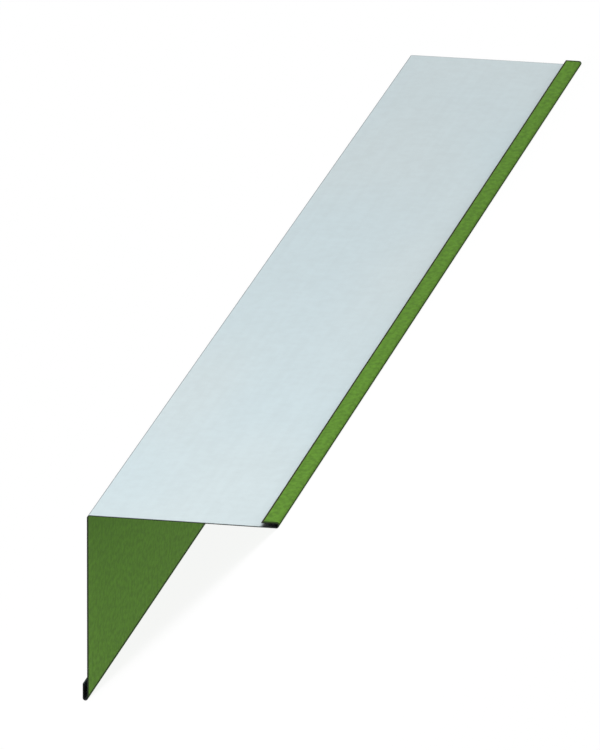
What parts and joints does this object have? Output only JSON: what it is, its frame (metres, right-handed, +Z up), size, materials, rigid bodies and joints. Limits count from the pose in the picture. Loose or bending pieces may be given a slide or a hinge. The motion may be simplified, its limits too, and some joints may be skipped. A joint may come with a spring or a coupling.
{
  "type": "inside corner trim",
  "caption": "Folded coated-steel trim for the inner corner of two clad walls: two equal flanges at a right angle, each with an open hem turned back over the outside.",
  "frame": {"origin": "on the floor plane, midway between the two hem folds that the trim rests on and midway along its length", "axes": "+Y along the trim, +X across it from the left flange to the right one, +Z up through the corner bend"},
  "size_m": [0.1652, 1, 0.0803],
  "materials": {
    "face_coat": "smooth matt polyester coat, leaf green, on the face and round the hems",
    "back_coat": "thin pale blue-grey protective coat on the back",
    "cut_edge": "slit and sheared edges of the zinc-coated sheet, dull dark grey"
  },
  "bodies": {
    "root": {"corner_trim": "face_coat"}
  },
  "joints": []
}
